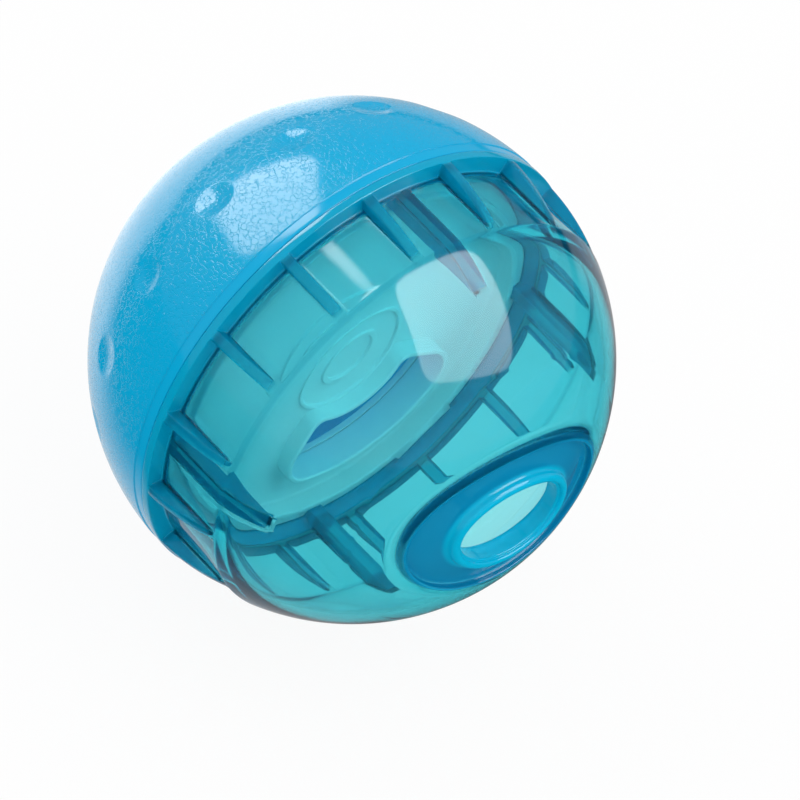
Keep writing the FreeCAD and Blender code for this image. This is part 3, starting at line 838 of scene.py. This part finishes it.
drum = {
    "face": 1.3,             # top of the collar, and of the edge round the web
    "web": -3.8,
    "webBack": -5.4,
    "wall": 1.6,
    "edge": 50.0,            # radius of the edge round the web
    "shoulder": -0.3,
    "rim": 53.6,
    "rimEnd": -13.5,
    "rings": ((7.2, 8.8, 1.0), (15.6, 16.8, 0.9)),  # raised round the pivot: inside, outside, height
    "ringRound": 0.35,
    "rounds": (0.5, 0.4, 0.3),  # its large, middle and small roundings
    "edgeFoot": 0.8,         # rounding between the web and its edge
    "post": 4.0,
    "seat": 7.0,
    "hook": 5.2,
    "postEnd": -9.2,
    "headEnd": -10.6,
    "postRounds": (0.15, 0.1, 0.25),  # at its foot, under its hook and on it
    "guard": 40.0,
    "collarEnd": -7.0,
    "collarWall": 1.6,
    "collarRound": 0.45,
    "mouthRounds": (0.35, 0.6),  # of the opening, below and on the face
    "notchFloor": 52.6,
    "notchPast": 56.0,       # radius that the notches' tool reaches
    "notchWidth": 4.8,
    "notchDepth": -3.6,
    "columns": 360,
}

shutter = {
    "face": -7.2,
    "back": -9.0,
    "radius": 39.5,
    "bore": 4.08,
    "tabMiddle": 27.5,
    "tabLength": 12.0,
    "tabHeight": 6.0,
    "tabWidth": 2.4,
    "tabRounds": (0.4, 1.2),  # along its sides, and at its corners
    "tabFoot": 0.9,          # mm of it within the disc
    "rounds": (0.2, 0.4),    # at the bore and at the outer edge
    "mouthRound": 0.3,
    "columns": 240,
}

cutPast = 0.5  # mm that a cutting shape reaches past a surface


def moonOutline():  # seen along the axis, its middle on the first coordinate
    half = math.radians(halfMoon["angle"] / 2)
    side = Vector((math.cos(half), math.sin(half)))
    inward = Vector((math.sin(half), -math.cos(half)))
    cornerSteps, sideSteps, outerSteps, innerSteps = halfMoon["steps"]

    def corner(radius, rounding, sign):
        along = math.sqrt((radius - sign * rounding) ** 2 - rounding ** 2)
        centre = side * along + inward * rounding
        start = math.atan2(centre.y * sign, centre.x * sign)
        end = math.atan2(-inward.y, -inward.x)
        sweep = (end - start + math.pi) % (2 * math.pi) - math.pi
        turns = [start + sweep * k / cornerSteps for k in range(cornerSteps + 1)]
        return [centre + Vector((math.cos(t), math.sin(t))) * rounding for t in turns]

    def arc(radius, turn, steps):  # from the middle up to an angle
        turns = [turn * k / steps for k in range(steps)]
        return [Vector((math.cos(t), math.sin(t))) * radius for t in turns]

    outer = corner(halfMoon["outer"], halfMoon["outerRound"], 1)
    inner = corner(halfMoon["inner"], halfMoon["innerRound"], -1)
    outerTurn, innerTurn = math.atan2(outer[0].y, outer[0].x), math.atan2(inner[0].y, inner[0].x)
    points = arc(halfMoon["outer"], outerTurn, outerSteps) + outer
    points += [outer[-1].lerp(inner[-1], k / sideSteps) for k in range(1, sideSteps)] + inner[::-1]
    points += arc(halfMoon["inner"], innerTurn, innerSteps)[::-1]
    return points + [Vector((point.x, -point.y)) for point in points[-2:0:-1]]


def onMoon(x, spot):  # a point of the outline, turned to where the opening is
    return polar(x, spot.length, math.degrees(math.atan2(spot.y, spot.x)) + halfMoon["middle"])


def revolved(name, corners, count):
    closed = corners[0][1] > 0
    return ringPiece(name, spin(bendCorners(corners, closed), evenAngles(count)), closed)


def buildDrum():
    d = drum
    web, back, face, edge = d["web"], d["webBack"], d["face"], d["edge"]
    shoulder, rim, rimEnd, under = d["shoulder"], d["rim"], d["rimEnd"], d["shoulder"] - d["wall"]
    rimBore, edgeBore, guardOut = rim - d["wall"], edge - d["wall"], d["guard"] + d["wall"]
    large, middle, small = d["rounds"]
    postFoot, underHook, onHook = d["postRounds"]
    corners = [(web, 0, 0)]
    for inside, outside, height in d["rings"]:
        top = web + height
        corners += [(web, inside, small), (top, inside, d["ringRound"])]
        corners += [(top, outside, d["ringRound"]), (web, outside, middle)]
    corners += [
        (web, edgeBore, d["edgeFoot"]), (face, edgeBore, large), (face, edge, large),
        (shoulder, edge, small), (shoulder, rim, small), (rimEnd, rim, large),
        (rimEnd, rimBore, large), (under, rimBore, middle), (under, edge, small),
        (back, edge, large), (back, guardOut, large), (shutter["back"], guardOut, middle),
        (shutter["back"], d["guard"], middle), (back, d["guard"], large), (back, d["seat"], middle),
        (d["collarEnd"], d["seat"], small), (d["collarEnd"], d["post"], postFoot),
        (d["postEnd"], d["post"], underHook), (d["postEnd"], d["hook"], onHook),
        (d["headEnd"], d["post"], small), (d["headEnd"], 0, 0),
    ]
    piece = revolved("drum", corners, d["columns"])
    outline = moonOutline()
    levels = roundedLevels(d["collarEnd"], face, d["collarRound"], -1)
    levels = [(x, margin + d["collarWall"]) for x, margin in levels]
    combine(piece, stackPiece("collar", outline, levels, onMoon), "UNION")
    low, high = d["mouthRounds"]
    half = meshing["barSteps"] + 1
    mouth = [(d["collarEnd"] - cutPast, low)] + roundedLevels(d["collarEnd"], face, low)[:half]
    mouth += roundedLevels(d["collarEnd"], face, high)[half:] + [(face + cutPast, high)]
    combine(piece, stackPiece("opening", outline, mouth, onMoon), "DIFFERENCE")
    half = d["notchWidth"] / 2
    floor, past = d["notchFloor"], d["notchPast"]
    corners = ((-half, floor), (half, floor), (half, past), (-half, past))
    levels = [(d["notchDepth"], 0), (face + 2 * cutPast, 0)]
    for angle in evenAngles(bowl["guideCount"]):
        onNotch = lambda x, spot: polar(x, spot.length, math.degrees(math.atan2(spot.x, spot.y)) + angle)
        notch = stackPiece("notch", [Vector(corner) for corner in corners], levels, onNotch)
        combine(piece, notch, "DIFFERENCE")
    evenShading(piece)
    return piece


def buildShutter():
    s = shutter
    back, face = s["back"], s["face"]
    boreRound, rimRound = s["rounds"]
    corners = [(back, s["bore"], boreRound), (back, s["radius"], rimRound)]
    corners += [(face, s["radius"], rimRound), (face, s["bore"], boreRound)]
    piece = revolved("shutter", corners, s["columns"])
    foot, tip, middle, long = back + s["tabFoot"], back - s["tabHeight"], s["tabMiddle"], s["tabLength"]
    side, corner = s["tabRounds"]
    shape = [(foot, middle - long / 2, 0), (tip, middle - long / 3, corner)]
    shape += [(tip, middle + long / 3, corner), (foot, middle + long / 2, 0)]
    outline = [Vector(spot) for spot in bendCorners(shape)]
    behind = halfMoon["middle"] + 180  # the tab is across from the opening

    def onTab(height, spot):
        return polar(spot.x, math.hypot(spot.y, height), behind + math.degrees(math.atan2(height, spot.y)))

    tab = stackPiece("tab", outline, roundedLevels(-s["tabWidth"] / 2, s["tabWidth"] / 2, side, -1), onTab)
    combine(piece, tab, "UNION")
    edge = s["mouthRound"]
    mouth = [(back - cutPast, edge)] + roundedLevels(back, face, edge) + [(face + cutPast, edge)]
    combine(piece, stackPiece("opening", moonOutline(), mouth, onMoon), "DIFFERENCE")
    evenShading(piece)
    return piece


pieces = [
    (buildDome, "dome", "opaque_dome", "opaque_blue", azurePlastic),
    (buildBowl, "bowl", "clear_bowl", "clear_blue", clearPlastic),
    (buildDrum, "drum", "partition_drum", "white_plastic", milkyPlastic),
    (buildShutter, "shutter", "shutter_disc", "white_plastic", None),
]

finish = None
for build, body, node, slot, makeFinish in pieces:
    piece = build()
    finish = makeFinish() if makeFinish else finish
    dress(piece, finish)
    dress(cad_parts[node], finish)
    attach(piece, body)
    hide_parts(node)
    print("built", piece.name, len(piece.data.polygons), "faces")


# Camera at the photograph's angle

view = {
    "right": (0.6203, 0.7611, 0.1890),
    "up": (-0.6273, 0.3366, 0.7019),
    "back": (0.4710, -0.5540, 0.6860),
    "distance": 1905.0,
    "aimRight": 11.72,       # aim point from the ball's centre
    "aimUp": -9.19,
    "lens": 356.9,
    "sensor": 36,
    "clipEnd": 100,          # metres
}


def placeCamera():
    right, up, back = [Vector(view[name]).normalized() for name in ("right", "up", "back")]
    camera = bpy.data.objects.new("camera", bpy.data.cameras.new("camera"))
    bpy.context.scene.collection.objects.link(camera)
    camera.data.lens = view["lens"]
    camera.data.sensor_width = view["sensor"]
    camera.data.clip_end = view["clipEnd"]
    spot = right * view["aimRight"] + up * view["aimUp"] + back * view["distance"]
    turn = Matrix((right, up, back)).transposed().to_4x4()
    camera.matrix_world = Matrix.Translation(spot * mm) @ turn
    bpy.context.scene.camera = camera


# Two softboxes above, a bright floor and a pale room

studio = {
    "leftBox": {
        "axis": (-0.790, -0.118, 0.602),  # towards it from the ball
        "roll": 45,
        "across": 0.38,
        "along": 0.30,
        "gloss": 7.2,        # its brightness in reflections
        "fade": 0.0,         # how much that changes along it
        "light": 1.2,
        "lampSize": 0.6,
    },
    "rightBox": {
        "axis": (0.570, 0.302, 0.764),
        "roll": -27.6,
        "across": 0.43,
        "along": 0.45,
        "gloss": 4.9,
        "fade": 0.28,
        "light": 1.0,
        "lampSize": 0.9,
    },
    "boxAway": 1.1,          # metres
    "boxCorners": 6,         # the higher, the squarer
    "boxEdge": 0.25,         # softness
    "room": 1.0,             # light of the room on the object
    "roomGloss": 0.28,       # what gloss shows of the room between the softboxes
    "through": 1.12,         # what is seen through clear plastic
    "inside": 1.95,          # light that clear plastic lets in
    "boxInside": 0.8,        # share of the softboxes' own light in it
}


def boxAxes(box):
    axis = Vector(box["axis"]).normalized()
    side = Vector((0, 0, 1)).cross(axis).normalized()
    turn = Matrix.Rotation(math.radians(box["roll"]), 3, axis)
    return axis, turn @ side, turn @ axis.cross(side)


def placeSoftbox(name, box):  # the light of a softbox; its reflection is in the room
    axis, across, along = boxAxes(box)
    lamp = bpy.data.lights.new(name, "AREA")
    lamp.size = box["lampSize"]
    lamp.energy = box["light"] * math.pi * box["lampSize"] ** 2
    piece = bpy.data.objects.new(name, lamp)
    bpy.context.scene.collection.objects.link(piece)
    turn = Matrix((across, along, axis)).transposed().to_4x4()
    piece.matrix_world = Matrix.Translation(axis * studio["boxAway"]) @ turn
    piece.visible_glossy = False
    piece.visible_transmission = False


def softboxMask(recipe, direction, box):  # 1 where a direction meets the softbox
    dot = {"operation": "DOT_PRODUCT"}
    dots = [recipe.node("VectorMath", dot, {0: direction, 1: axis}, "Value") for axis in boxAxes(box)]
    ahead = dots[0].maths("MAXIMUM", dots[0], 0.001)  # never nothing, since it divides
    across, along = dots[1] / ahead / box["across"], dots[2] / ahead / box["along"]
    power = studio["boxCorners"]
    window = 1 - recipe.above(across ** power + along ** power, 1.0, studio["boxEdge"])
    return window * (1 + along * box["fade"])


def rayKinds(recipe):  # camera, gloss, through clear plastic, light let in by it
    path = recipe.node("LightPath").socket.node.outputs
    names = ("Is Camera Ray", "Is Glossy Ray", "Is Transmission Ray", "Diffuse Depth")
    camera, gloss, through, bounces = [Wire(recipe.tree, path[name]) for name in names]
    inside = through * bounces.maths("GREATER_THAN", bounces, 0.5)
    return camera, gloss * (1 - through), through - inside, inside


def lightRoom():
    world = bpy.data.worlds.new("room")
    bpy.context.scene.world = world
    recipe = Recipe(world)
    camera, gloss, through, inside = rayKinds(recipe)
    direction = recipe.node("TexCoord", output="Generated")
    left = softboxMask(recipe, direction, studio["leftBox"]) * studio["leftBox"]["gloss"]
    right = softboxMask(recipe, direction, studio["rightBox"]) * studio["rightBox"]["gloss"]
    room = studio["room"]
    strength = room + camera * (1 - room) + through * (studio["through"] - room)
    strength = strength + gloss * (studio["roomGloss"] - room + left + right)
    strength = strength + inside * (studio["inside"] - room + (left + right) * studio["boxInside"])
    glow = recipe.node("Background", {}, {"Color": (1, 1, 1, 1), "Strength": strength})
    recipe.node("OutputWorld", {}, {"Surface": glow})


ground = {
    "size": 3000,            # half a side
    "colour": (0.8, 0.8, 0.8, 1),
    "glow": 0.93,            # its own brightness
    "gloss": 0.02,           # as gloss shows it, beside the card
    "inside": 0.6,           # its light that clear plastic lets in
    "card": 1.5,             # white card on its far left, as gloss shows it
    "cardEdge": (-75.0, 25),  # near edge along y, and its softness
    "cardEnd": (950, 250),   # far end, from the ball
    "cardRight": (20, 60),   # right edge, along x
    "cardDim": (30, 30),     # line past which it dims
    "cardDimLean": 0.71,
    "cardDimBy": 0.65,
    "cardPaintedShadow": (120, 50),   # distance from the ball within which the card holds a painted shadow of the ball, and its softness
    # brightness left to the card within that painted shadow
    "cardPaintedShadowLeft": 0.55,
}


def layFloor():
    half = ground["size"]
    height = -ball["radius"]
    corners = [(-half, -half, height), (half, -half, height), (half, half, height), (-half, half, height)]
    floor = makePiece("floor", corners, [(0, 1, 2, 3)])
    material, recipe = newFinish("paleFloor")
    camera, gloss, through, inside = rayKinds(recipe)
    spot, x, y, z, r = recipe.place()
    away = (x * x + y * y) ** 0.5
    dim = recipe.above(y + x * ground["cardDimLean"], *ground["cardDim"]) * ground["cardDimBy"]
    # painted shadow of the ball on the card near its foot, as gloss shows it
    foot = ground["cardPaintedShadowLeft"]
    card = recipe.above(y, *ground["cardEdge"]) * (1 - dim)
    card = card * (foot + recipe.above(away, *ground["cardPaintedShadow"]) * (1 - foot))
    card = card * (1 - recipe.above(away, *ground["cardEnd"])) * (1 - recipe.above(x, *ground["cardRight"]))
    seen = gloss * (ground["gloss"] + card * ground["card"])
    seen = seen + inside * ground["inside"] + camera + through * studio["through"]
    diffuse = recipe.node("BsdfDiffuse", {}, {"Color": ground["colour"]})
    glow = recipe.node("Emission", {}, {"Color": (1, 1, 1, 1), "Strength": seen})
    share = (camera + through) * ground["glow"] + gloss + inside
    recipe.node("OutputMaterial", {}, {"Surface": recipe.mix(share, diffuse, glow)})
    dress(floor, material)


placeCamera()
placeSoftbox("leftBox", studio["leftBox"])
placeSoftbox("rightBox", studio["rightBox"])
lightRoom()
layFloor()
bpy.context.scene.view_settings.view_transform = "Standard"
print("camera, lamps and floor placed")

bpy.context.view_layer.update()
